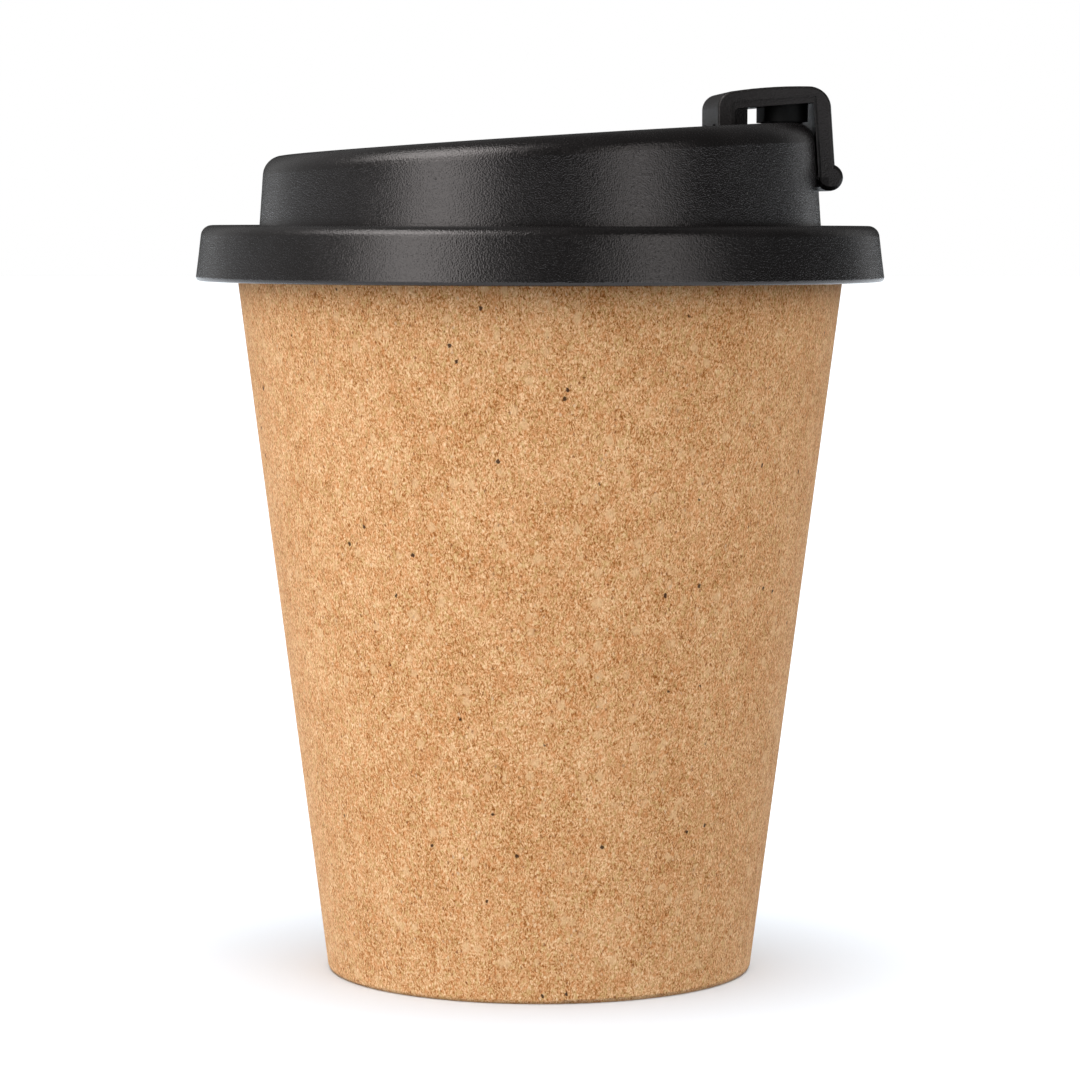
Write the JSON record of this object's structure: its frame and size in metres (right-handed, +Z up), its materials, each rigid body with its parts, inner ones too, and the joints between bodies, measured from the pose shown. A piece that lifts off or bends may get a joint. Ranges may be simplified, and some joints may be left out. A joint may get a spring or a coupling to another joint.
{
  "type": "travel cup",
  "caption": "Conical cork-jacketed travel cup with a push-on lid and a flip clip that carries the stopper for the drinking hole.",
  "frame": {"origin": "centre of the cup's foot, on the surface that it stands on", "axes": "+Z up along the cup's axis; +X from the axis towards the flip clip and the drinking hole; +Y completes the right-handed frame, along the clip's width"},
  "size_m": [0.0904, 0.0904, 0.1164],
  "materials": {
    "cork": "sanded agglomerated cork, fine granules",
    "cup_plastic": "smooth moulded polypropylene",
    "lid_plastic": "satin black, very fine mould texture",
    "seal_rubber": "matt silicone",
    "clip_plastic": "satin black, very fine mould texture",
    "stopper_rubber": "matt soft plastic",
    "pin_steel": "drawn stainless wire"
  },
  "bodies": {
    "cup": {"cork_jacket": "cork", "cork_base_disc": "cork", "inner_cup": "cup_plastic"},
    "lid": {"lid_body": "lid_plastic", "lid_seal_ring": "seal_rubber", "hinge_pin": "pin_steel"},
    "clip": {"closure_clip": "clip_plastic", "stopper": "stopper_rubber"}
  },
  "joints": [
    {"name": "lid_lift", "type": "slide", "parent": "cup", "child": "lid", "axis": [0, 0, 1], "range_m": [0, 0.03]},
    {"name": "clip_flip", "type": "hinge", "parent": "lid", "child": "clip", "pos_m": [0.02395, 0, 0.1095], "axis": [0, -1, 0], "range_deg": [0, 165]}
  ]
}
